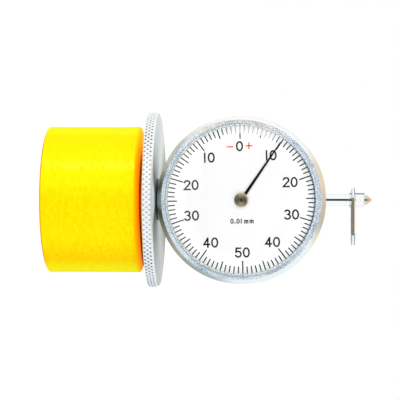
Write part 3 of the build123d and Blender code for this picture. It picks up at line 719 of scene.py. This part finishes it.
def polishedSpindle(finish, look):
    # Ground and polished steel, with one faint bluish-grey stripe down each side
    x, y, z = finish.split(finish.millimetres())
    marks = finish.lathe(z, look["marksPerMm"])
    metal = finish.fade(marks, contrast, *look["metal"])
    side = finish.ease(abs(x), *look["sideAside"])
    return finish.close(look, finish.blend(side, metal, look["side"]), marks)


hubLook = {
    # dark and light tones of the painted highlight
    "metal": [(0.14, 0.125, 0.085), (0.54, 0.46, 0.31)],
    "fanShares": (0.6, 0.4, 0.5),  # of the fan, the rings and the speckle in its tone
    "fanTone": (0.4, 0.95),
    "fanRadius": (0.4, 1.5),
    # painted highlight on one side of the edge
    "edge": (0.88, 0.66, 0.34),
    "edgeRadius": (1.75, 2.05),
    "edgeSide": (-0.4, 2.4),
    "metallic": 0.6,
    "roughness": (0.32, 0.1),
    "ringsPerMm": 5.0,
    "specklePerMm": 2.0,
    "depth": 0.02,
}


def hubBronze(finish, look):
    # Turned bronze under a painted highlight: light above and below its centre, dark to both sides by the
    # share of the distance from the axis that a point lies up or down, and a painted highlight on the edge
    # on one side
    x, y, up, radius = finish.fromDial()
    rings = finish.lathe(radius, look["ringsPerMm"], detail=1.0)
    speckle = finish.grain(look["specklePerMm"], detail=2.0, roughness=0.6)
    parts = (1 - abs(up) / radius, rings, speckle)
    fan = finish.ease(sum(part * share for part, share in zip(parts, look["fanShares"])), *look["fanTone"])
    metal = finish.blend(fan * finish.ease(radius, *look["fanRadius"]), *look["metal"])
    # painted highlight on the edge
    edge = finish.ease(radius, *look["edgeRadius"]) * finish.ease(up - x, *look["edgeSide"])
    return finish.close(look, finish.blend(edge, metal, look["edge"]), rings)


pinionLook = {
    "metal": [(0.46, 0.47, 0.49), (0.66, 0.67, 0.69)],
    "end": [(0.008, 0.006, 0.005), (0.13, 0.12, 0.085)],  # its middle, and the ring round it
    "endRadius": (0.32, 0.47),
    "endFront": (-0.5, -0.6),  # over the dial
    "roughness": (0.3, 0.08),
    "marksPerMm": 7.0,
    "depth": 0.008,
}


def pinionSteel(finish, look):
    # Turned steel whose end, in front of the dial, is blacked
    x, y, up, radius = finish.fromDial()
    marks = finish.lathe(y, look["marksPerMm"])
    black = finish.ease(y, *(dialFront / mm + over for over in look["endFront"]))
    metal = finish.fade(marks, contrast, *look["metal"])
    end = finish.fade(radius, look["endRadius"], *look["end"])
    return finish.close(look, finish.blend(black, metal, end), marks, sockets={"Metallic": 1 - black})


tickInkLook = {
    "ink": (0.012, 0.026, 0.022),
    # painted highlight: the ink paler beside the zero
    "recoloured": (0.88, 0.83, 0.86),
    "inkHighlightAcross": (-19.0, -21.0),
    "inkHighlightMiddle": 4.0,
    "inkHighlightReach": (12.0, 4.5),
    "inkHighlightRadius": 23.55,
    "inkHighlightRadiusReach": (1.75, 0.55),
    "inkHighlightGrain": (0.95, 0.4),
    "roughness": (0.5, 0.1),
    "specular": 0.15,
    "grainPerMm": 7.0,
    "depth": 0.004,
}


def tickInk(finish, look):
    # Black printing ink with a fine grain, painted paler as a highlight over a short stretch beside the
    # zero: the product of masks across x, by the distance from a height and by the distance from a radius
    x, y, up, radius = finish.fromDial()
    grain = finish.grain(look["grainPerMm"])
    # painted highlight over the ticks beside the zero
    recoloured = finish.ease(x, *look["inkHighlightAcross"])
    recoloured = recoloured * finish.ease(abs(radius - look["inkHighlightRadius"]), *look["inkHighlightRadiusReach"])
    recoloured = recoloured * finish.ease(abs(up - look["inkHighlightMiddle"]), *look["inkHighlightReach"])
    recoloured = recoloured * finish.around(grain, *look["inkHighlightGrain"])
    return finish.close(look, finish.blend(recoloured, look["ink"], look["recoloured"]), grain)


finishes = {}
for kind, looks in (("turned", turnedLooks), ("grainy", grainyLooks), ("brushed", brushedLooks)):
    for name, look in looks.items():
        finishes[name] = plainFinish(newFinish(name), kind, {**markKinds[kind], **look})
singles = [
    (yellowEnamel, enamelLook), (knurledAluminium, knurlLook), (dialEnamel, dialLook),
    (clearCrystal, crystalLook), (bezelSatin, bezelLook), (crystalRingSatin, crystalRingLook),
    (hubSteel, hubSteelLook), (brightNut, nutLook), (platedLever, leverLook),
    (polishedSpindle, spindleLook), (hubBronze, hubLook), (pinionSteel, pinionLook),
    (tickInk, tickInkLook),
]
for lay, look in singles:  # the finish takes the name of its function
    finishes[lay.__name__] = lay(newFinish(lay.__name__), look)
print("finishes made:", len(finishes))

wornBy = {
    "yellowEnamel": ["magnet_pot"],
    "ferrite": ["ring_magnet"],
    "poleSteel": ["pole_core"],
    "faceBrass": ["pole_face_ring"],
    "brownFibre": ["friction_washer"],
    "turnedSteel": ["swivel_stud", "stud_washer", "spindle_bush", "rack_pinion", "hairspring_collet",
                    "guide_pin", "spring_post"],
    "pinionSteel": ["centre_pinion"],
    "hubSteel": ["swivel_hub"],
    "hubBlack": ["hub_nut", "stud_screw"],
    "castCase": ["gauge_case"],
    "blackRubber": ["case_gasket"],
    "turnedCover": ["back_cover"],
    "screwSteel": ["back_cover_screws", "movement_screws", "pillar_screws"],
    "springSteel": ["bezel_wire", "hairspring", "return_spring", "dial_snap_ring"],
    "movementBrass": ["movement_plate", "rear_plate", "centre_bridge", "movement_pillars",
                      "bridge_pillars", "hairspring_stud", "tail_guide", "rack_wheel",
                      "hairspring_wheel", "guide_fork"],
    "bezelSatin": ["bezel"],
    "crystalRingSatin": ["crystal_ring"],
    "clearCrystal": ["crystal"],
    "dialEnamel": ["dial_plate"],
    "polishedSpindle": ["spindle"],
    "brightNut": ["lever_nut", "lever_washer"],
    "platedLever": ["finger_lever"],
    "strawSteel": ["contact_point"],
    "blackHand": ["hand"],
    "hubBronze": ["hand_hub"],
}

for finishName, members in wornBy.items():
    for member in members:
        for materialSlot in nodes[member].material_slots:
            materialSlot.material = finishes[finishName]
bare = set(nodes) - {member for members in wornBy.values() for member in members}
print("nodes dressed, left for new pieces:", sorted(bare))


# New pieces

def newPiece(name, points, faces, finish, body):
    # points is an array of places in metres, faces an array of corner numbers
    mesh = bpy.data.meshes.new(name)
    mesh.from_pydata(points.tolist(), [], faces.tolist())
    mesh.materials.append(finishes[finish])
    mesh.update()
    piece = bpy.data.objects.new(name, mesh)
    bpy.context.scene.collection.objects.link(piece)
    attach(piece, body)
    return piece


def gridFaces(rows, columns, closed=True):
    # Quads of a grid, each of which joins a point to the next row and column. The last column meets the
    # first one, and the last row too where the grid is closed
    row, column = np.meshgrid(np.arange(rows if closed else rows - 1), np.arange(columns), indexing="ij")
    nextRow, nextColumn = (row + 1) % rows, (column + 1) % columns
    corners = [row * columns + column, row * columns + nextColumn,
               nextRow * columns + nextColumn, nextRow * columns + column]
    return np.stack([corner.ravel() for corner in corners], axis=1)


knurl = {  # millimetres, where not a count or a share
    "around": 112,  # pits round the rim
    "columnsPerPit": 16,
    "axialPeriod": 1.95,  # from a pit to the next one straight above it
    "rowStep": 0.08,
    "ridgeShare": 0.12,  # half the width of a ridge's top, as a share of the pit's width
    "steepness": 1.5,
    "depth": 0.42,
    "thickness": 3.45,
    "frontBevel": 0.6,
    "backBevel": 0.25,
    "dish": 0.75,
    "floorRadius": 9.0,
    "bore": 7.05,
    "bossRadius": 10.5,
}


def knurledDisc():
    # A closed profile turned round the Z axis. On the rim the radius drops by the depth times how far a
    # point is from the nearest of two families of ridges, which run round it as plus and minus a helix
    low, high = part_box("lock_disc")
    radius = high.x / mm
    bossLow, top = low.z / mm, high.z / mm
    bottom, floor = top - knurl["thickness"], top - knurl["dish"]
    rimLow, rimHigh = bottom + knurl["backBevel"], top - knurl["frontBevel"]
    rowCount = int(round((rimHigh - rimLow) / knurl["rowStep"])) + 1
    rimRows = np.linspace(rimLow, rimHigh, rowCount)
    before = [(knurl["bore"], bossLow), (knurl["bossRadius"], bossLow), (knurl["bossRadius"], bottom),
              (radius - knurl["backBevel"], bottom)]
    after = [(radius - knurl["frontBevel"], top), (knurl["floorRadius"], floor), (knurl["bore"], floor)]
    profile = np.array(before + [(radius, height) for height in rimRows] + after)
    onRim = np.zeros(len(profile))
    onRim[len(before):len(before) + rowCount] = 1

    columns = knurl["around"] * knurl["columnsPerPit"]
    turn = np.arange(columns) / columns
    middle = (rimLow + rimHigh) / 2
    lead = (profile[:, 1, None] - middle) / knurl["axialPeriod"]
    turns = turn[None, :] * knurl["around"]
    fromRidge = [np.abs(family - np.round(family)) for family in (turns + lead, turns - lead)]
    sunk = (np.minimum(*fromRidge) - knurl["ridgeShare"]) / (0.5 - knurl["ridgeShare"])
    sunk = np.clip(sunk * knurl["steepness"], 0, 1) * onRim[:, None]
    radii = profile[:, 0, None] - knurl["depth"] * sunk
    angle = 2 * np.pi * turn[None, :]
    points = np.stack([radii * np.cos(angle), radii * np.sin(angle),
                       np.broadcast_to(profile[:, 1, None], radii.shape)], axis=-1)
    piece = newPiece("knurled_disc", points.reshape(-1, 3) * mm, gridFaces(len(profile), columns),
                     "knurledAluminium", "lock_disc")
    pit = piece.data.attributes.new("pit", "FLOAT", "POINT")
    pit.data.foreach_set("value", sunk.ravel())
    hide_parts("lock_disc")
    return piece


disc = knurledDisc()
print("knurled disc:", len(disc.data.polygons), "faces")


dialPrint = {  # millimetres and degrees, from the dial's centre
    "turn": 1.3,  # that the scale stands anticlockwise of upright
    "divisions": 100,
    "outer": 24.75,
    "tickInner": {1: 22.65, 5: 21.85, 10: 20.7},
    "tickWidth": {1: 0.40, 5: 0.42, 10: 0.42},
    "raise": 0.02,
    "sink": 0.05,
    "cornerLeast": 0.45,  # keeps the edge of a sharp corner from running away
    "figures": [  # text, degrees clockwise from the zero, distance from the centre
        ("0", -0.8, 18.0), ("10", 34.5, 17.85), ("20", 71.3, 17.35), ("30", 107.6, 17.5),
        ("40", 144.8, 17.6), ("50", 180.2, 17.7), ("40", 216.8, 17.7), ("30", 253.5, 17.6),
        ("20", 287.5, 17.6), ("10", 323.5, 17.9),
    ],
    "figureSize": {"height": 2.92, "width": 1.86, "stroke": 0.54, "spacing": 2.68},
    "division": "0.01 mm",
    "divisionPlace": (0.1, -7.15),
    "divisionSize": {"height": 1.35, "width": 0.8, "stroke": 0.35, "spacing": 1.32},
    "places": {"1": 0.62, ".": 0.55, "m": 1.35, " ": 0.3},  # share of the spacing, where it isn't 1
    "wideM": 1.3,
    "signs": [("minus", -3.5, 17.85), ("plus", 2.92, 18.05)],
    "signWidth": 1.9,
    "signStroke": 0.4,
}


def curve(middle, radii, start, end, steps=22):
    # An arc of an ellipse, from one angle to another in degrees
    angle = np.radians(np.linspace(start, end, steps))
    return np.stack([middle[0] + radii[0] * np.cos(angle), middle[1] + radii[1] * np.sin(angle)], axis=1)


# Each character is a list of strokes in a box from -1 to 1 both ways
characters = {
    "0": [curve((0, 0), (1, 1), 90, 450, 40)[:-1]],
    "1": [np.array([(0, -1), (0, 1)], float)],
    "2": [np.vstack([curve((0, 0.5), (0.95, 0.5), 165, -38), [(-1, -1), (1, -1)]])],
    "3": [np.vstack([curve((-0.05, 0.52), (0.85, 0.48), 150, -80),
                     curve((-0.05, -0.47), (1, 0.53), 80, -150)])],
    "4": [np.array([(0.4, -1), (0.4, 1)], float), np.array([(0.3, 0.9), (-1, -0.42), (1, -0.42)], float)],
    "5": [np.vstack([[(0.8, 1), (-0.68, 1), (-0.82, 0.1)], curve((-0.05, -0.36), (1, 0.64), 135, -152)])],
    ".": [np.array([(0, -1), (0, -0.8)], float)],
    "m": [np.array([(-1, -1), (-1, 0.3)], float),
          np.vstack([curve((-0.5, -0.1), (0.5, 0.4), 180, 0, 12), [(0, -1)]]),
          np.vstack([curve((0.5, -0.1), (0.5, 0.4), 180, 0, 12), [(1, -1)]])],
}
closedStrokes = {"0"}


def unit(vectors):
    # The vectors over their lengths
    return vectors / np.linalg.norm(vectors, axis=-1, keepdims=True)


def offsets(path, closed):
    # The sideways direction at each point: across the mean of the runs on both sides, and longer at a
    # corner, by one over the cosine of half its turn
    after = np.roll(path, -1, axis=0) - path
    before = path - np.roll(path, 1, axis=0)
    if not closed:
        after[-1], before[0] = before[-1], after[0]
    after = unit(after)
    along = unit(after + unit(before))
    sideways = np.stack([-along[:, 1], along[:, 0]], axis=1)
    return sideways / np.maximum((along * after).sum(axis=1, keepdims=True), dialPrint["cornerLeast"])


def strip(path, width, closed):
    # A flat raised band along a path: a rectangle carried along it, half a width past both ends, which are
    # shut
    side = offsets(path, closed) * width / 2
    if not closed:
        first = path[:1] + unit(path[:1] - path[1:2]) * width / 2
        last = path[-1:] + unit(path[-1:] - path[-2:-1]) * width / 2
        path = np.vstack([first, path[1:-1], last])
    high, low = dialPrint["raise"], -dialPrint["sink"]
    left, right = path + side, path - side
    layers = [(left, low), (left, high), (right, high), (right, low)]
    points = np.stack([np.column_stack([flat, np.full(len(flat), depth)]) for flat, depth in layers], axis=1)
    faces = gridFaces(len(path), len(layers), closed)
    if not closed:
        end = len(layers) * (len(path) - 1)
        faces = np.vstack([faces, [[3, 2, 1, 0]], [[end, end + 1, end + 2, end + 3]]])
    return points.reshape(-1, 3), faces


def written(text, middle, height, width, stroke, spacing):
    # The strokes of a line of characters, centred on the middle, each in its own share of the spacing
    widths = np.array([dialPrint["places"].get(character, 1.0) for character in text]) * spacing
    ends = np.cumsum(widths)
    centres = ends - widths / 2 - ends[-1] / 2
    made = []
    for character, centre in zip(text, centres):
        half = width * (dialPrint["wideM"] if character == "m" else 1.0) / 2
        for line in characters.get(character, []):
            path = np.array(middle) + line * (half, height / 2) + (centre, 0)
            made.append((path, stroke, character in closedStrokes))
    return made


def onDial(points):
    # From the dial's own right, up and out, turned with the scale, to the object's frame in metres
    turn = math.radians(dialPrint["turn"])
    right = points[:, 0] * math.cos(turn) - points[:, 1] * math.sin(turn)
    up = points[:, 0] * math.sin(turn) + points[:, 1] * math.cos(turn)
    return np.stack([-up * mm, dialFront - points[:, 2] * mm, dialHeight + right * mm], axis=1)


def printed(name, strokes, finish):
    # One piece of all the strokes' bands, with each band's corner numbers moved past those before it
    points, faces, count = [], [], 0
    for path, width, closed in strokes:
        some, sides = strip(path, width, closed)
        points.append(some)
        faces.append(sides + count)
        count += len(some)
    return newPiece(name, onDial(np.vstack(points)), np.vstack(faces), finish, "bezel")


def scaleTicks():
    # One straight stroke for each division, longer at every fifth and tenth
    strokes = []
    for number in range(dialPrint["divisions"]):
        kind = 10 if number % 10 == 0 else 5 if number % 5 == 0 else 1
        angle = 2 * math.pi * number / dialPrint["divisions"]
        away = np.array([math.sin(angle), math.cos(angle)])
        ends = np.array([dialPrint["tickInner"][kind], dialPrint["outer"]])
        strokes.append((ends[:, None] * away, dialPrint["tickWidth"][kind], False))
    return strokes


def scaleFigures():
    # Figures upright round the scale, each by its angle and distance, and the division's value under the hub
    strokes = []
    for text, degrees, distance in dialPrint["figures"]:
        angle = math.radians(degrees)
        middle = (distance * math.sin(angle), distance * math.cos(angle))
        strokes += written(text, middle, **dialPrint["figureSize"])
    return strokes + written(dialPrint["division"], dialPrint["divisionPlace"], **dialPrint["divisionSize"])


def scaleSigns():
    # A level stroke for each sign, and an upright one across it for the plus
    half, width = dialPrint["signWidth"] / 2, dialPrint["signStroke"]
    strokes = []
    for kind, across, up in dialPrint["signs"]:
        strokes.append((np.array([(across - half, up), (across + half, up)]), width, False))
        if kind == "plus":
            strokes.append((np.array([(across, up - half), (across, up + half)]), width, False))
    return strokes


printed("dial_ticks", scaleTicks(), "tickInk")
printed("dial_figures", scaleFigures(), "printInk")
printed("dial_signs", scaleSigns(), "redInk")
print("dial printed")


# Studio

studio = {
    "ambient": 0.77,
    "floorSize": 8.0,
    "floorDrop": 0.05,  # mm under the magnet
    "floorPaper": [grey(0.9), grey(0.92)],
    "floorCloudPerMm": 0.02,
    "floorDim": 0.54,  # what it throws back where it is seen, beside its own white
    "floorWhite": 0.7,
    "floorMirrored": (0.42, 0.50, 0.50),  # a grey patch that only mirrors see
    "patch": (-50, 40, 150, 400),  # where it starts, is full, fades and ends across x
}
seen = ("Camera", "Glossy", "Transmission")


def rays(finish, *kinds):
    # 1 for rays of the named kinds, 0 for the others
    outputs = finish.add("ShaderNodeLightPath").socket.node.outputs
    return finish.clamp(sum(Wire(finish, outputs["Is " + kind + " Ray"]) for kind in kinds))


def stageSheet(name, corners, finish):
    # A flat sheet with four corners, which isn't part of the object
    mesh = bpy.data.meshes.new(name)
    mesh.from_pydata(corners, [], [(0, 1, 2, 3)])
    mesh.materials.append(finish.owner)
    sheet = bpy.data.objects.new(name, mesh)
    bpy.context.scene.collection.objects.link(sheet)
    return sheet


def makeWorld():
    # White where it is seen, and the ambient level where it lights
    world = bpy.data.worlds.new("studio")
    bpy.context.scene.world = world
    finish = Finish(world)
    white = finish.add("ShaderNodeBackground", sockets={"Color": grey(1), "Strength": 1.0})
    light = finish.add("ShaderNodeBackground", sockets={"Color": grey(1), "Strength": studio["ambient"]})
    mixed = finish.add("ShaderNodeMixShader", sockets={0: rays(finish, *seen), 1: light, 2: white})
    finish.add("ShaderNodeOutputWorld", sockets={"Surface": mixed})


def makeFloor():
    # White to the camera and to mirrors, but with part of its own light and shade, so that a shadow stays
    half, low = studio["floorSize"] / 2, -studio["floorDrop"] * mm
    finish = newFinish("floorWhite")
    cloud = finish.grain(studio["floorCloudPerMm"], detail=2.0)
    tone = finish.blend(cloud, *studio["floorPaper"])
    paper = finish.add("ShaderNodeBsdfDiffuse", sockets={"Color": tone})
    dim = finish.add("ShaderNodeBsdfDiffuse", sockets={"Color": grey(studio["floorDim"])})
    glow = finish.add("ShaderNodeEmission", sockets={"Color": grey(1), "Strength": studio["floorWhite"]})
    white = finish.add("ShaderNodeAddShader", sockets={0: dim, 1: glow})
    mixed = finish.add("ShaderNodeMixShader", sockets={0: rays(finish, *seen), 1: paper, 2: white})
    x, y, z = finish.split(finish.millimetres())
    patched = finish.blend(finish.band(x, *studio["patch"]), grey(1), studio["floorMirrored"])
    mirrored = finish.add("ShaderNodeEmission", sockets={"Color": patched, "Strength": 1.0})
    mixed = finish.add("ShaderNodeMixShader", sockets={0: rays(finish, "Glossy"), 1: mixed, 2: mirrored})
    finish.add("ShaderNodeOutputMaterial", sockets={"Surface": mixed})
    corners = [(-half, -half, low), (half, -half, low), (half, half, low), (-half, half, low)]
    stageSheet("floor", corners, finish)


# Sides of the studio that only mirrors see: a dark one behind the camera and a tan one past the tip
cards = {
    "darkCard": {
        "corners": [(-0.35, -0.95, -0.1), (0.33, -0.95, -0.1), (0.33, -0.95, 1.1), (-0.35, -0.95, 1.1)],
        "tint": (0.014, 0.038, 0.036),
    },
    "tanCard": {
        "corners": [(-0.33, -0.45, 0.62), (0.33, -0.45, 0.62), (0.33, 0.62, 0.62), (-0.33, 0.62, 0.62)],
        "tint": (0.83, 0.67, 0.46),
    },
}


def makeCards():
    for name, card in cards.items():
        finish = newFinish(name)
        glow = finish.add("ShaderNodeEmission", sockets={"Color": card["tint"], "Strength": 1.0})
        finish.add("ShaderNodeOutputMaterial", sockets={"Surface": glow})
        side = stageSheet(name, card["corners"], finish)
        side.visible_camera = side.visible_diffuse = side.visible_transmission = False
        side.visible_shadow = False


lamps = {
    "keyLamp": {"place": (-0.45, -0.76, 0.28), "size": 0.6, "power": 2.35, "tint": (1.0, 1.0, 1.0)},
    "fillLamp": {"place": (0.50, -0.72, 0.10), "size": 0.7, "power": 2.45, "tint": (0.98, 0.99, 1.0)},
}


def makeLamps():
    # Round soft lamps that look at the dial's centre
    target = Vector((0, 0, dialHeight))
    for name, lamp in lamps.items():
        light = bpy.data.lights.new(name, "AREA")
        light.shape = "DISK"
        light.size = lamp["size"]
        light.energy = lamp["power"]
        light.color = lamp["tint"]
        holder = bpy.data.objects.new(name, light)
        holder.location = lamp["place"]
        holder.rotation_mode = "QUATERNION"
        holder.rotation_quaternion = (target - holder.location).to_track_quat("-Z", "Y")
        holder.visible_glossy = False  # mirrors see only the white studio and its cards
        bpy.context.scene.collection.objects.link(holder)


camera = {
    "place": (-0.77 * mm, -515.96 * mm, 81.13 * mm),
    "yaw": 3.269,
    "pitch": 0.099,
    "roll": 0.098,
    "lens": 135.41,
    "sensor": 36.0,
    "clip": (0.05, 30.0),
}


def makeCamera():
    # Image up is -X and image right is +Z, so the camera lies on its side. Yaw turns it towards the tip,
    # pitch towards the lever's side, and roll turns the picture
    yaw, pitch, roll = (math.radians(camera[name]) for name in ("yaw", "pitch", "roll"))
    right = Vector((0, math.sin(yaw), math.cos(yaw)))
    up = Vector((-math.cos(pitch), math.cos(yaw) * math.sin(pitch), -math.sin(yaw) * math.sin(pitch)))
    right, up = right * math.cos(roll) + up * math.sin(roll), up * math.cos(roll) - right * math.sin(roll)
    turn = Matrix((right, up, right.cross(up))).transposed()
    lens = bpy.data.cameras.new("photoCamera")
    lens.sensor_width = camera["sensor"]
    lens.lens = camera["lens"]
    lens.clip_start, lens.clip_end = camera["clip"]
    holder = bpy.data.objects.new("photoCamera", lens)
    holder.matrix_world = Matrix.Translation(camera["place"]) @ turn.to_4x4()
    bpy.context.scene.collection.objects.link(holder)
    bpy.context.scene.camera = holder


makeWorld()
makeFloor()
makeCards()
makeLamps()
makeCamera()
bpy.context.scene.view_settings.view_transform = "Standard"
print("studio ready")
